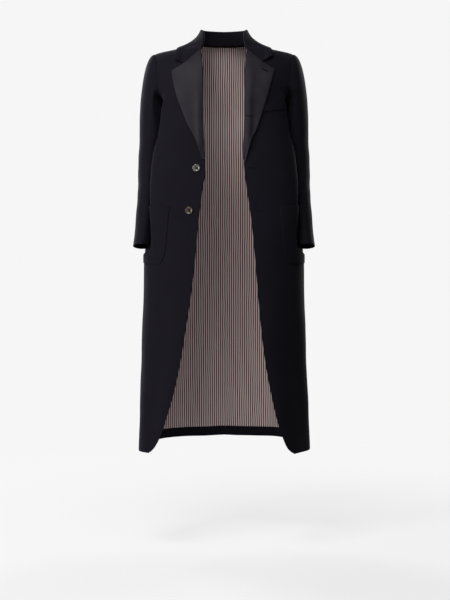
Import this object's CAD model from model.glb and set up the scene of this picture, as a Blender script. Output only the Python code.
"""The looks of a very long evening blazer, worn open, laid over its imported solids.

Every cloth piece is drawn again as a thin shell from the same sizes as the solids, with finer steps, pressed
seams, soft folds and rolled edges. Units are metres. +X is the wearer's left, -Y is the front and +Z is up.
The origin lies between the two shoulder seams at the neck.
"""

import logging
import math
from collections.abc import Sequence
from dataclasses import dataclass, field
from enum import Enum
from functools import cache
from typing import Any

import bpy
import numpy as np
from bpy.types import Material, Node, NodeSocket, NodeTree, Object
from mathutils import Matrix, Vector
from mathutils.bvhtree import BVHTree


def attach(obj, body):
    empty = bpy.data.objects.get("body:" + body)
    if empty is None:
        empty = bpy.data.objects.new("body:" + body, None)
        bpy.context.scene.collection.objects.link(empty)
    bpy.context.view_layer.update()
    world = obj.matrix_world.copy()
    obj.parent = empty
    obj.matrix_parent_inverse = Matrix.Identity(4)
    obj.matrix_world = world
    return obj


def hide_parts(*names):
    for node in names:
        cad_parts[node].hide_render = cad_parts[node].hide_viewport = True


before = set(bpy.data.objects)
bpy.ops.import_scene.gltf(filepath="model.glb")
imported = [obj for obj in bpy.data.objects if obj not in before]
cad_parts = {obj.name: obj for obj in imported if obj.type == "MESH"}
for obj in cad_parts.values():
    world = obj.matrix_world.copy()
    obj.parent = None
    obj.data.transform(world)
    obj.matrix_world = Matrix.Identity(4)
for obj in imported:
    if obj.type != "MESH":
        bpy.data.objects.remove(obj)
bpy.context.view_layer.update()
LOG = logging.getLogger("blazer")

Array = np.ndarray
Numbers = float | Sequence[float] | Array
Rows = tuple[tuple[float, ...], ...]
Faces = list[tuple[int, ...]]
Source = Node | NodeSocket
Stops = Sequence[tuple[float, str]]
# The width, length and area that a piece of cloth was cut to.
Cut = tuple[float, float, float]

MULTIPLY_ADD = {"operation": "MULTIPLY_ADD"}
# A Wave texture of scale s repeats every 0.31416 / s, in metres.
WAVE_MM = 314.16

# Cloth and gaps.
CLOTH = 0.002
LINING_CLOTH = 0.001
POCKET_CLOTH = 0.0016
WELT_CLOTH = 0.0012
SEAM_GAP = 0.0003
# Between two edges sewn together, so that no light from the lining shows through.
SEAM_SHOWN = 0.00006
LAYER_GAP = 0.0004
SLEEVE_GAP = 0.0002

# Heights.
HEM_Z = -1.289
LINING_HEM_Z = -1.258
UNDERARM_Z = -0.245
GORGE_Z = -0.038
CUFF_Z = -0.645
BICEPS_Z = -0.3

ARM_CLEARANCE = 0.01
ARM_FADE_Z = (-0.672, -0.65)
ARM_AHEAD = 0.026
ARM_AHEAD_Z = (-0.72, -0.655)
CUFF_TILT = math.tan(math.radians(9.0))
SLEEVE_FOLD = 0.0016
FLUTES = ((0.15, 0.005, 0.0), (0.093, 0.0022, 1.1))
FLUTE_Z = (-1.289, -0.62)
SHOULDER = ((0.085, -0.01), (0.11, -0.017), (0.14, -0.024), (0.17, -0.0305), (0.2, -0.037), (0.2185, -0.0425))
SHOULDER_Y = 0.003
NECK_BACK = (0.0, 0.073, -0.008)
FRONT_ROUND, BACK_ROUND, NECK_ROUND = 2.5, 2.1, 1.6
DENT_FADE = 0.4
ROLL_RADIUS = 0.0026
ROLL_LEG = 0.004
LEAF_GAP = 0.0027
ROLL_PUFF = 0.0035
LEAF_TURN = 0.55
BUTTON_SHANK = 0.0007
FRONT_BUTTONS = ((0.085, -0.402), (0.1075, -0.533))


class Side(Enum):
    """The wearer's two sides."""

    RIGHT = -1
    LEFT = 1

    @property
    def label(self) -> str:
        """The side's word in a piece's name."""
        return self.name.lower()


class Part(Enum):
    """The two parts of the body's cloth on each side."""

    FRONT = "front"
    BACK = "back"


def ease(low: float, high: float, value: Numbers) -> Array:
    """Goes smoothly from 0 at low to 1 at high."""
    t = np.clip((np.asarray(value, float) - low) / (high - low), 0.0, 1.0)
    return t * t * (3.0 - 2.0 * t)


def bell(distance: Numbers, width: float) -> Array:
    """Gives a soft hump: 1 at no distance, and about a third at the width."""
    return np.exp(-((distance / width) ** 2))


def smooth(xs: Numbers, ys: Numbers, x: Numbers) -> Array:
    """Reads a short table as a smooth curve that never overshoots its points.

    Args:
        xs: The table's places, rising.
        ys: The table's values.
        x: The places to read at.

    Returns:
        The value at each place.
    """
    xs, ys = np.asarray(xs, float), np.asarray(ys, float)
    step = np.diff(xs)
    slope = np.diff(ys) / step
    same = slope[:-1] * slope[1:] > 0
    inner = np.where(same, 2.0 * slope[:-1] * slope[1:] / np.where(same, slope[:-1] + slope[1:], 1.0), 0.0)
    tangent = np.concatenate([slope[:1], inner, slope[-1:]])
    x = np.clip(np.asarray(x, float), xs[0], xs[-1])
    i = np.clip(np.searchsorted(xs, x, side="right") - 1, 0, len(step) - 1)
    t = (x - xs[i]) / step[i]
    return ((1.0 + 2.0 * t) * (1.0 - t) ** 2 * ys[i] + t * (1.0 - t) ** 2 * step[i] * tangent[i]
        + t * t * (3.0 - 2.0 * t) * ys[i + 1] + t * t * (t - 1.0) * step[i] * tangent[i + 1])

@dataclass(frozen=True)
class Table:
    """A short table with named columns. The first column says where each row is."""

    columns: tuple[str, ...]
    rows: Rows

    def at(self, name: str, x: Numbers) -> Array:
        """Reads a column's smooth values at some places."""
        columns = dict(zip(self.columns, zip(*sorted(self.rows))))
        return smooth(columns[self.columns[0]], columns[name], x)

    def all_at(self, x: float) -> dict[str, float]:
        """Reads every column at one place."""
        return {name: self.at(name, x) for name in self.columns[1:]}


BODY = Table(("z", "half_width", "front", "back", "front_square", "back_square", "widest_y"),
    ((-1.3, 0.2715, 0.192, 0.213, 2.5, 2.35, 0.004), (-1.1, 0.2655, 0.188, 0.203, 2.5, 2.35, 0.002),
    (-0.94, 0.26, 0.183, 0.192, 2.55, 2.35, 0.0), (-0.78, 0.2545, 0.176, 0.179, 2.6, 2.7, 0.0),
    (-0.66, 0.252, 0.17, 0.167, 2.7, 3.2, -0.004), (-0.56, 0.248, 0.165, 0.154, 2.8, 2.9, -0.026),
    (-0.45, 0.2405, 0.159, 0.142, 2.8, 2.5, -0.04), (-0.34, 0.229, 0.154, 0.143, 2.7, 2.5, -0.036),
    (-0.245, 0.215, 0.151, 0.151, 2.6, 2.5, -0.03)))
ARM = Table(("z", "middle_x", "middle_y", "half_x", "half_y"), ((-0.66, 0.26, -0.04, 0.0282, 0.059),
    (-0.6, 0.2508, -0.025, 0.0297, 0.06), (-0.53, 0.2441, -0.007, 0.032, 0.063),
    (-0.45, 0.2386, 0.011, 0.0345, 0.067), (-0.36, 0.2311, 0.022, 0.0385, 0.072),
    (-0.3, 0.2234, 0.015, 0.0435, 0.0775), (-0.245, 0.2235, 0.01, 0.044, 0.078)))
EDGE = Table(("z", "right", "left"), ((-1.289, 0.237, 0.22), (-1.283, 0.229, 0.211),
    (-1.27, 0.218, 0.1985), (-1.23, 0.1975, 0.181), (-1.18, 0.181, 0.165), (-1.1, 0.157, 0.147),
    (-1.0, 0.1355, 0.1285), (-0.9, 0.119, 0.116), (-0.78, 0.101, 0.105), (-0.66, 0.088, 0.095),
    (-0.55, 0.0775, 0.0835), (-0.46, 0.066, 0.07), (-0.42, 0.059, 0.065), (-0.39, 0.059, 0.062),
    (-0.36, 0.064, 0.064), (-0.3, 0.0695, 0.068), (-0.245, 0.0705, 0.069)))
HEM_LIFT = Table(("round", "right", "left"), ((0.0, 0.019, 0.019), (0.25, 0.015, 0.018), (0.52, 0.006, 0.016),
    (0.75, 0.001, 0.004), (1.0, 0.0, 0.0)))
COLLAR = Table(("along", "stand", "lean_deg", "reach", "drop"), ((0.0, 0.004, 90.0, 0.073, -0.03),
    (0.12, 0.013, 66.0, 0.07, -0.022), (0.25, 0.028, 42.0, 0.063, -0.013), (0.45, 0.045, 20.0, 0.047, -0.008),
    (0.7, 0.042, 12.0, 0.033, -0.006), (1.0, 0.04, 8.0, 0.026, -0.003)))


def lengths_of(line: Array) -> Array:
    """Measures how far along a line of points each of them is."""
    return np.concatenate([[0.0], np.cumsum(np.linalg.norm(np.diff(line, axis=0), axis=1))])


def read_line(line: Array, distance: Numbers, lengths: Array) -> Array:
    """Reads points on a line, how far along it they are and the distance of each of its own points."""
    return np.stack([np.interp(distance, lengths, line[:, k]) for k in range(line.shape[1])], axis=-1)


def crowded(count: int, share: float) -> Array:
    """Gives numbers from 0 to 1 that crowd towards both ends, more so with a greater share."""
    turned = (1.0 - np.cos(np.linspace(0.0, math.pi, count))) / 2
    return turned * share + np.linspace(0.0, 1.0, count) * (1.0 - share)


def new_object(name: str, data: bpy.types.ID) -> Object:
    """Makes an object and puts it in the scene.

    Args:
        name: The object's name.
        data: Its mesh, lamp or camera.

    Returns:
        The object.
    """
    made = bpy.data.objects.new(name, data)
    bpy.context.scene.collection.objects.link(made)
    return made


def apply_modifiers(obj: Object) -> Object:
    """Turns an object's modifiers into a plain smooth mesh.

    Args:
        obj: The object.

    Returns:
        The same object.
    """
    made = bpy.data.meshes.new_from_object(obj.evaluated_get(bpy.context.evaluated_depsgraph_get()))
    obj.modifiers.clear()
    obj.data = made
    made.shade_smooth()
    return obj


def unit(vectors: Array) -> Array:
    """Gives each vector length 1."""
    return vectors / np.maximum(np.linalg.norm(vectors, axis=-1, keepdims=True), 1e-12)


def flip(points: Array, side: Side) -> Array:
    """Puts points that were worked out for the wearer's left on the given side."""
    return points * np.array([float(side.value), 1.0, 1.0])


class BodyRing:
    """Half of the body's level ring at one height, from the middle of the front to the middle of the back."""

    POINTS = 721

    def __init__(self, z: float, side: Side, pressed: bool = True) -> None:
        """Works out the ring.

        Args:
            z: The height.
            side: The wearer's side, which sets the free edge and the flutes.
            pressed: Whether the sleeve presses the side in.
        """
        turn = np.linspace(0.0, math.pi, self.POINTS)
        front = turn < math.pi / 2
        body = BODY.all_at(z)
        square = np.where(front, body["front_square"], body["back_square"])
        across = np.abs(np.sin(turn)) ** (2.0 / square)
        deep = np.abs(np.cos(turn)) ** (2.0 / square)
        middle = body["widest_y"]
        x = body["half_width"] * across
        y = np.where(front, middle - (body["front"] + middle) * deep, middle + (body["back"] - middle) * deep)
        if pressed:
            x = self.pressed_by_arm(x, y, z)
        self.line = self.fluted(np.stack([x, y], axis=1), z, side)
        self.lengths = lengths_of(self.line)
        self.total = self.lengths[-1]
        self.seam = float(np.interp(0.012, self.line[:, 1], self.lengths))
        edge_x = EDGE.at(side.label, z)
        first = int(np.argmax(self.line[:, 0] > edge_x))
        pair = slice(first - 1, first + 1)
        self.edge = float(np.interp(edge_x, self.line[pair, 0], self.lengths[pair]))

    @staticmethod
    def pressed_by_arm(x: Array, y: Array, z: float) -> Array:
        """Presses the coat's side in where the sleeve hangs, and keeps the cloth clear of it.

        Args:
            x: How far each point lies to the side.
            y: How far each point lies to the back.
            z: The height.

        Returns:
            The pressed distances to the side.
        """
        reach_x = ARM.at("half_x", z) + ARM_CLEARANCE
        reach_y = ARM.at("half_y", z) + ARM_CLEARANCE
        middle_y = ARM.at("middle_y", z)
        ahead = ARM_AHEAD * ease(*ARM_AHEAD_Z, z)
        share = np.clip((y - middle_y) / np.where(y < middle_y, reach_y + ahead, reach_y), -1.0, 1.0)
        limit = ARM.at("middle_x", z) - reach_x * np.sqrt(1.0 - share**2)
        gap = x - limit
        pressed = 0.5 * (x + limit - np.sqrt(gap**2 + 0.006**2))
        held = ease(*ARM_FADE_Z, z)
        near = ease(0.35, 0.75, x / max(x.max(), 1e-9))
        return x + (np.minimum(pressed, x) - x) * held * near

    @staticmethod
    def fluted(line: Array, z: float, side: Side) -> Array:
        """Adds the skirt's soft upright flutes, deepest at the hem.

        Args:
            line: The ring's points.
            z: The height.
            side: The side.

        Returns:
            The fluted points.
        """
        strength = 1.0 - ease(*FLUTE_Z, z)
        lengths = lengths_of(line)
        from_back = lengths[-1] - lengths
        tangent = unit(np.gradient(line, axis=0))
        outward = np.stack([tangent[:, 1], -tangent[:, 0]], axis=1)
        wave = np.zeros(len(line))
        for length, depth, phase in FLUTES:
            settle = ease(0.0, 0.08, from_back) * phase * side.value
            wave += depth * np.cos(2.0 * math.pi * from_back / length + settle)
        quiet_front = 1.0 - 0.45 * ease(0.3, 0.5, from_back)
        return line + outward * (wave * strength * quiet_front)[:, None]

    def at(self, part: Part, share: Numbers) -> Array:
        """Reads the ring.

        Args:
            part: The front or the back.
            share: 0 at the side seam, 1 at the free edge or the middle of the back.

        Returns:
            The points, as x and y.
        """
        if part is Part.FRONT:
            start, end = self.seam - SEAM_SHOWN / 2, self.edge
        else:
            start, end = self.seam + SEAM_SHOWN / 2, self.total - SEAM_SHOWN / 2
        return read_line(self.line, start + (end - start) * np.asarray(share, float), self.lengths)


@cache
def ring_at(z: float, side: Side) -> BodyRing:
    """Gives the body's ring at a height, worked out once."""
    return BodyRing(round(z, 5), side)


def hem_lift(part: Part, side: Side, shares: Array, z: float) -> Array:
    """Says how much the hem's own line lifts points near the bottom, from their shares across the part."""
    round_body = 0.5 * (1.0 - shares) if part is Part.BACK else 0.5 + 0.5 * shares
    return HEM_LIFT.at(side.label, round_body) * (1.0 - ease(HEM_Z, HEM_Z + 0.3, z))


def top_line(part: Part) -> Array:
    """Draws the top of a part: its shoulder seam from the tip to the neck, and on the back the neck seam too.

    Args:
        part: The front or the back.

    Returns:
        The points of the line.
    """
    xs, zs = zip(*SHOULDER)
    x = np.linspace(xs[-1], xs[0], 24)
    line = np.column_stack([x, np.full(24, SHOULDER_Y), smooth(xs, zs, x)])
    if part is Part.FRONT:
        return line
    turn = np.linspace(0.0, math.pi / 2, 40)[1:]
    neck = np.column_stack([xs[0] * np.cos(turn) ** 0.9, SHOULDER_Y + (NECK_BACK[1] - SHOULDER_Y) * np.sin(
        turn) ** 1.1, zs[0] + (NECK_BACK[2] - zs[0]) * np.sin(turn)])
    neck[-1, 0] = SEAM_SHOWN / 2
    return np.vstack([line, neck])


TOP = {part: top_line(part) for part in Part}
TOP_LENGTHS = {part: lengths_of(TOP[part]) for part in Part}
NECK_SHARE = float(TOP_LENGTHS[Part.BACK][23] / TOP_LENGTHS[Part.BACK][-1])


class Chest:
    """The surface above the underarm, from the level ring there up to the shoulder and neck seams."""

    ARMHOLE_X = {Part.FRONT: 0.2055, Part.BACK: 0.192}

    def __init__(self, part: Part, side: Side, shares: Array) -> None:
        """Finds where each column starts on the ring.

        Args:
            part: The front or the back.
            side: The side.
            shares: The columns, 0 at the armhole.
        """
        self.part, self.shares = part, shares
        self.ring = BodyRing(UNDERARM_Z, side, pressed=False)
        ahead = self.ring.line[:, 1] < BODY.at("widest_y", UNDERARM_Z)
        order = np.where(ahead)[0] if part is Part.FRONT else np.where(~ahead)[0][::-1]
        self.start = float(np.interp(self.ARMHOLE_X[part], self.ring.line[order, 0], self.ring.lengths[order]))
        self.end = self.ring.edge if part is Part.FRONT else self.ring.total - SEAM_SHOWN / 2
        base = np.column_stack([ring_at(UNDERARM_Z, side).at(part, shares), np.full(len(shares), UNDERARM_Z)])
        trial = np.linspace(0.0, 1.0, 4001)
        apart = np.linalg.norm(base[:, None, :2] - self.ring_points(trial)[None], axis=2)
        self.first = np.maximum.accumulate(trial[np.argmin(apart, axis=1)])
        self.dent = base - self.at(self.first, 0.0)

    def ring_points(self, across: Array) -> Array:
        """Reads the ring at the underarm by the share across from the armhole."""
        return read_line(self.ring.line, self.start + (self.end - self.start) * across, self.ring.lengths)

    def at(self, across: Array, up: float) -> Array:
        """Finds points of the surface at one height.

        Args:
            across: Shares across from the armhole.
            up: The share up from the ring.

        Returns:
            The points, one a row.
        """
        base = self.ring_points(across)
        lengths, line = TOP_LENGTHS[self.part], TOP[self.part]
        top = read_line(line, across * lengths[-1], lengths)
        roundness = np.full(len(across), FRONT_ROUND)
        if self.part is Part.BACK:
            roundness = BACK_ROUND + (NECK_ROUND - BACK_ROUND) * ease(0.35, 0.95, across)
        turn = np.linspace(0.0, math.pi / 2, 181)[None]
        power = (2.0 / roundness)[:, None]
        deep, rise = np.abs(np.cos(turn)) ** power, np.sin(turn) ** power
        curve = np.stack([base[:, :1] + (top[:, :1] - base[:, :1]) * (1.0 - np.cos(turn)),
            top[:, 1:2] + (base[:, 1:2] - top[:, 1:2]) * deep, UNDERARM_Z + (top[:, 2:] - UNDERARM_Z) * rise], axis=2)
        steps = np.linalg.norm(np.diff(curve, axis=1), axis=2)
        gone = np.concatenate([np.zeros((len(across), 1)), np.cumsum(steps, axis=1)], axis=1)
        target = up * gone[:, -1]
        row = np.arange(len(across))
        cell = np.clip((gone <= target[:, None]).sum(axis=1) - 1, 0, steps.shape[1] - 1)
        t = ((target - gone[row, cell]) / np.maximum(steps[row, cell], 1e-12))[:, None]
        return curve[row, cell] * (1.0 - t) + curve[row, cell + 1] * t

    def row(self, up: float) -> Array:
        """Finds one row of the part's grid, by its share up from the ring."""
        across = self.first + (self.shares - self.first) * ease(0.0, 0.55, up)
        return self.at(across, min(up, 1.0 - SEAM_SHOWN / 2 / 0.22)) + self.dent * (1.0 - ease(0.0, DENT_FADE, up))


def grid_normals(points: Array, outside: Array) -> Array:
    """Works out a grid's unit normals, on the side that outside roughly points to."""
    normals = unit(np.cross(np.gradient(points, axis=1), np.gradient(points, axis=0)))
    return normals if float((normals * outside).sum(axis=-1).mean()) > 0.0 else -normals


def grid_lengths(points: Array) -> tuple[Array, Array]:
    """Measures each point of a grid from its row's start and from its column's start."""
    across, up = (np.cumsum(np.linalg.norm(np.diff(points, axis=k), axis=2), axis=k) for k in (1, 0))
    return np.pad(across, ((0, 0), (1, 0))), np.pad(up, ((1, 0), (0, 0)))


# Of each wave: how it runs across the three ways, and its phase.
WAVES = np.array([(1.0, 0.31, 0.23, 0.4), (-0.37, 0.92, 0.61, 1.9), (0.58, -0.66, 1.24, 3.1),
    (0.83, 1.12, -0.95, 5.3)])


def uneven(points: Array, scale: float) -> Array:
    """Gives soft unevenness, from about -1 to 1, of a few crossing waves with swells of about the scale's size."""
    return np.sin(points @ WAVES[:, :3].T * 6.283 / scale + WAVES[:, 3]).mean(axis=-1)


def spaced(*runs: tuple[float, float, int]) -> Array:
    """Joins runs of even steps, each given by its start, its end and their number, into one rising list."""
    return np.unique(np.round(np.concatenate([np.linspace(a, b, n + 1) for a, b, n in runs]), 6))


class PanelShape:
    """The fine grid of a front or back: points and normals of its outer face, from the hem to the shoulder."""

    LEVELS = spaced((-1.289, -1.279, 6), (-1.279, -1.258, 6), (-1.258, UNDERARM_Z, 140))
    STEPS = spaced((0.012, 0.9, 56), (0.9, 1.0, 14))
    SHARES = {Part.FRONT: spaced((0.0, 0.03, 4), (0.03, 0.96, 50), (0.96, 1.0, 5)),
        Part.BACK: spaced((0.0, 0.03, 4), (0.03, 0.97, 54), (0.97, 1.0, 4))}
    SEAM_DIP = 0.0009
    SEAM_WIDTH = 0.0045

    def __init__(self, part: Part, side: Side) -> None:
        """Works out the grid, then presses the seams in and adds soft folds.

        Args:
            part: The front or the back.
            side: The side.
        """
        self.part, self.side, self.shares = part, side, self.SHARES[part]
        chest = Chest(part, side, self.shares)
        rows = []
        for z in self.LEVELS.tolist():
            flat = ring_at(z, side).at(part, self.shares)
            rows.append(np.column_stack([flat, z + hem_lift(part, side, self.shares, z)]))
        self.points = np.array(rows + [chest.row(up) for up in self.STEPS.tolist()])
        self.find_normals()
        self.points = self.points + self.normals * self.relief()[..., None]
        self.find_normals()

    def find_normals(self) -> None:
        """Works out the normals, level across the shoulder seam and the middle of the back."""
        outside = self.points * np.array([1.0, 1.0, 0.0])
        normals = grid_normals(self.points, outside)
        if self.part is Part.FRONT:
            normals[-1, :, 1] = 0.0
        else:
            normals[-1, self.shares <= NECK_SHARE, 1] = 0.0
            normals[:, -1, 0] = 0.0
        self.normals = unit(normals)

    def relief(self) -> Array:
        """Says how far the cloth stands out from its plain form.

        Returns:
            The height at each point of the grid.
        """
        across, up = grid_lengths(self.points)
        z = self.points[..., 2]
        below_top = up[-1:] - up
        above_hem = ease(0.0, 0.03, up)
        seam = bell(across, self.SEAM_WIDTH) + bell(below_top, self.SEAM_WIDTH)
        if self.part is Part.BACK:
            seam += bell(across[:, -1:] - across, self.SEAM_WIDTH)
        height = -self.SEAM_DIP * np.minimum(seam, 1.0)
        quiet = ease(0.0, 0.02, across) * ease(0.0, 0.02, across[:, -1:] - across) * ease(0.0, 0.03, below_top)
        skirt = 1.0 - ease(-0.8, -0.35, z)
        height += quiet * above_hem * (0.0007 + 0.0008 * skirt) * uneven(self.points, 0.23)
        height += quiet * 0.00035 * uneven(self.points[..., ::-1], 0.085)
        return height + quiet * (self.front_folds() if self.part is Part.FRONT else self.back_folds())

    def front_folds(self) -> Array:
        """Gives the drags of a front: from the armhole, under the buttons and down the skirt.

        Returns:
            The height of the folds at each point.
        """
        x, z = self.points[..., 0], self.points[..., 2]
        drag = bell(x - 0.185 - (z + 0.19) * 0.16, 0.012) * bell(z + 0.2, 0.075)
        hang = bell(x - 0.15 - (z + 0.9) * -0.1, 0.03) * (1.0 - ease(-1.0, -0.55, z))
        folds = 0.0016 * drag + 0.0014 * hang
        if self.side is Side.RIGHT:
            for button_x, button_z in FRONT_BUTTONS:
                pucker = bell(z - button_z + 0.026, 0.016) * bell(x - button_x, 0.01)
                folds -= 0.0007 * pucker
        return folds

    def back_folds(self) -> Array:
        """Gives the folds of a back: the ease behind the armhole and the hollow beside the middle seam.

        Returns:
            The height of the folds at each point.
        """
        x, z = self.points[..., 0], self.points[..., 2]
        easing = bell(x - 0.172 - (z + 0.22) * 0.1, 0.013) * bell(z + 0.23, 0.085)
        hollow = bell(x - 0.06, 0.028) * bell(z + 0.52, 0.14)
        return 0.0022 * easing - 0.0016 * hollow

    def read(self, shares: Array, levels: Array) -> tuple[Array, Array]:
        """Reads the part below the underarm, straight between its points.

        Args:
            shares: Shares across, a grid.
            levels: Heights before the hem's lift, a grid of the same size.

        Returns:
            The points and the normals there.
        """
        col = np.interp(shares, self.shares, np.arange(len(self.shares)))
        row = np.interp(levels, self.LEVELS, np.arange(len(self.LEVELS)))
        c, r = np.minimum(col.astype(int), len(self.shares) - 2), row.astype(int)
        s, t = (col - c)[..., None], (row - r)[..., None]
        found = []
        for grid in (self.points, self.normals):
            low = grid[r, c] * (1 - s) + grid[r, c + 1] * s
            high = grid[r + 1, c] * (1 - s) + grid[r + 1, c + 1] * s
            found.append(low * (1 - t) + high * t)
        return found[0], unit(found[1])


def cells_of(rows: int, columns: int) -> list[tuple[int, int, int, int]]:
    """Lists the four corners of each cell of a grid."""
    starts = [row * columns + col for row in range(rows - 1) for col in range(columns - 1)]
    return [(a, a + 1, a + columns + 1, a + columns) for a in starts]


class Skin:
    """The faces of one side's front and back, to lay other pieces on."""

    def __init__(self, panels: dict[Part, PanelShape]) -> None:
        """Makes search trees of the two parts.

        Args:
            panels: The side's front and back.
        """
        both = [panels[part] for part in Part]
        cells = [np.array(cells_of(*panel.points.shape[:2])) for panel in both]
        first = both[0].points[..., 0].size
        self.faces = np.concatenate([cells[0], cells[1] + first])[:, [0, 1, 2, 0, 2, 3]].reshape(-1, 3)
        self.points = np.concatenate([panel.points.reshape(-1, 3) for panel in both])
        self.normals = np.concatenate([panel.normals.reshape(-1, 3) for panel in both])
        self.tree = BVHTree.FromPolygons(self.points.tolist(), self.faces.tolist())
        in_front = self.faces[: 2 * len(cells[0])].tolist()
        self.front_tree = BVHTree.FromPolygons(self.points[:first].tolist(), in_front)

    def normal_at(self, index: int, at: Array) -> Array:
        """Blends the normals of a triangle's corners.

        Args:
            index: The triangle.
            at: A point on it.

        Returns:
            The unit normal there.
        """
        corners = self.faces[index]
        a, b, c = self.points[corners]
        whole = np.cross(b - a, c - a)
        share_b = np.cross(at - a, c - a) @ whole / (whole @ whole)
        share_c = np.cross(b - a, at - a) @ whole / (whole @ whole)
        weights = np.clip([1.0 - share_b - share_c, share_b, share_c], 0.0, 1.0)
        return unit(weights @ self.normals[corners])

    def foot(self, x: float, z: float) -> tuple[Array, Array]:
        """Finds the point of the front that shows at a place from straight ahead.

        Args:
            x: The place to the side.
            z: The height.

        Returns:
            The point and the normal there.
        """
        hit, _, index, _ = self.front_tree.ray_cast((x, -1.0, z), (0.0, 1.0, 0.0))
        if hit is not None:
            return np.array(hit), self.normal_at(index, np.array(hit))
        near, _, index, _ = self.front_tree.find_nearest((x, -0.15, z))
        at = np.array(near)
        normal = self.normal_at(index, at)
        y = at[1] - (normal[0] * (x - at[0]) + normal[2] * (z - at[2])) / normal[1]
        return np.array([x, y, z]), normal

    def pushed(self, point: Array, clearance: float) -> Array:
        """Moves a point out if it lies nearer the cloth than the clearance.

        Args:
            point: The point.
            clearance: How far it has to stay off.

        Returns:
            The point, moved if it had to be.
        """
        near, _, index, _ = self.tree.find_nearest(point)
        normal = self.normal_at(index, np.array(near))
        height = float((point - np.array(near)) @ normal)
        return point + normal * max(0.0, clearance - height)


@dataclass(frozen=True)
class Rim:
    """How round the rim is on each side of a grid, from 0, cut square at a seam, to 1, rolled."""

    start: float = 1.0
    last: float = 1.0
    end: float = 1.0
    first: float = 1.0


@dataclass
class Shell:
    """A thin closed shell of cloth between two grids, with a rolled rim and a map in metres of cloth."""

    name: str
    outer: Array
    inner: Array
    materials: list[Material]
    rim: Rim = field(default_factory=Rim)
    inner_looks: Array | None = None
    map_from: int = 0

    def border(self) -> tuple[Array, Array, Array]:
        """Walks round the grid's border.

        Returns:
            The point numbers, the direction out of the grid at each, and how round the rim is there.
        """
        middle = (self.outer + self.inner) / 2
        rows, cols = middle.shape[:2]
        out = np.zeros((rows, cols, 3))
        round_it = np.full((rows, cols), np.inf)
        sides = ((np.s_[0, :], middle[0] - middle[1], self.rim.start), (np.s_[-1, :], middle[-1] - middle[-2],
            self.rim.end), (np.s_[:, 0], middle[:, 0] - middle[:, 1], self.rim.first),
            (np.s_[:, -1], middle[:, -1] - middle[:, -2], self.rim.last))
        for where, away, factor in sides:
            out[where] += unit(away)
            round_it[where] = np.minimum(round_it[where], factor)
        numbers = np.arange(rows * cols).reshape(rows, cols)
        loop = np.concatenate([numbers[0], numbers[1:, -1], numbers[-1, -2::-1], numbers[-2:0:-1, 0]])
        return loop, unit(out.reshape(-1, 3)[loop]), round_it.ravel()[loop]

    def cloth_map(self) -> Array:
        """Gives each point its place on the flat cloth, in metres: across from a set column, and along it."""
        (across, up), at = grid_lengths(self.outer), [self.map_from]
        return np.stack(np.broadcast_arrays(across - across[:, at], up[:, at]), axis=-1).reshape(-1, 2)

    def build(self) -> Object:
        """Makes the mesh.

        Returns:
            The new object, at the origin.
        """
        rows, cols = self.outer.shape[:2]
        count = rows * cols
        loop, away, round_it = self.border()
        outer, inner = self.outer.reshape(-1, 3), self.inner.reshape(-1, 3)
        middle, half = (outer[loop] + inner[loop]) / 2, (outer[loop] - inner[loop]) / 2
        thick = np.linalg.norm(half, axis=1, keepdims=True)
        turns = np.radians([[[45.0]], [[90.0]], [[135.0]]])
        rings = middle + half * np.cos(turns) + away * thick * round_it[:, None] * np.sin(turns)
        points = np.concatenate([outer, inner, rings.reshape(-1, 3)])
        cells = np.array(cells_of(rows, cols))
        chains = np.vstack([loop, 2 * count + np.arange(3 * len(loop)).reshape(3, -1), loop + count])
        near, far = chains[:-1], chains[1:]
        sides = np.stack([np.roll(near, -1, 1), near, far, np.roll(far, -1, 1)], axis=-1)
        faces = np.concatenate([cells, cells[:, ::-1] + count, sides.reshape(-1, 4)])
        a, b, c, d = np.moveaxis(points[faces], 1, 0)
        if ((a + b + c + d) * np.cross(c - a, d - b)).sum() < 0.0:
            faces = faces[:, ::-1]
        flat = self.cloth_map()
        place = np.concatenate([flat, flat, flat[loop], flat[loop], flat[loop]])
        mesh = bpy.data.meshes.new(self.name)
        mesh.from_pydata(points.tolist(), [], faces.tolist())
        layer = mesh.uv_layers.new(name="cloth")
        numbers = np.zeros(len(mesh.loops), np.int32)
        mesh.loops.foreach_get("vertex_index", numbers)
        layer.data.foreach_set("uv", place[numbers].astype(np.float32).ravel())
        for look in self.materials:
            mesh.materials.append(look)
        if self.inner_looks is not None:
            looks = np.zeros(len(faces), np.int32)
            looks[(rows - 1) * (cols - 1) : 2 * (rows - 1) * (cols - 1)] = self.inner_looks.ravel()
            mesh.polygons.foreach_set("material_index", looks)
        mesh.shade_smooth()
        mesh.set_sharp_from_angle(angle=math.radians(55.0))
        return new_object(self.name, mesh)


def linear(hex_colour: str) -> tuple[float, float, float, float]:
    """Turns an sRGB hex colour into the linear numbers that a shader takes.

    Args:
        hex_colour: Such as "1d1c22".

    Returns:
        Red, green, blue and 1.
    """
    shares = [int(hex_colour[k : k + 2], 16) / 255.0 for k in (0, 2, 4)]
    made = [s / 12.92 if s <= 0.04045 else ((s + 0.055) / 1.055) ** 2.4 for s in shares]
    return made[0], made[1], made[2], 1.0


def feed(node: Node, **inputs: object) -> None:
    """Fills a node's inputs.

    Args:
        node: The node.
        inputs: For each input, a value, or the node or socket that feeds it. i0 and so on name one by number.
    """
    for name, value in inputs.items():
        by_number = name[0] == "i" and name[1:].isdigit()
        socket = node.inputs[int(name[1:]) if by_number else name.replace("_", " ")]
        if isinstance(value, (Node, NodeSocket)):
            node.id_data.links.new(value.outputs[0] if isinstance(value, Node) else value, socket)
        else:
            socket.default_value = value


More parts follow.
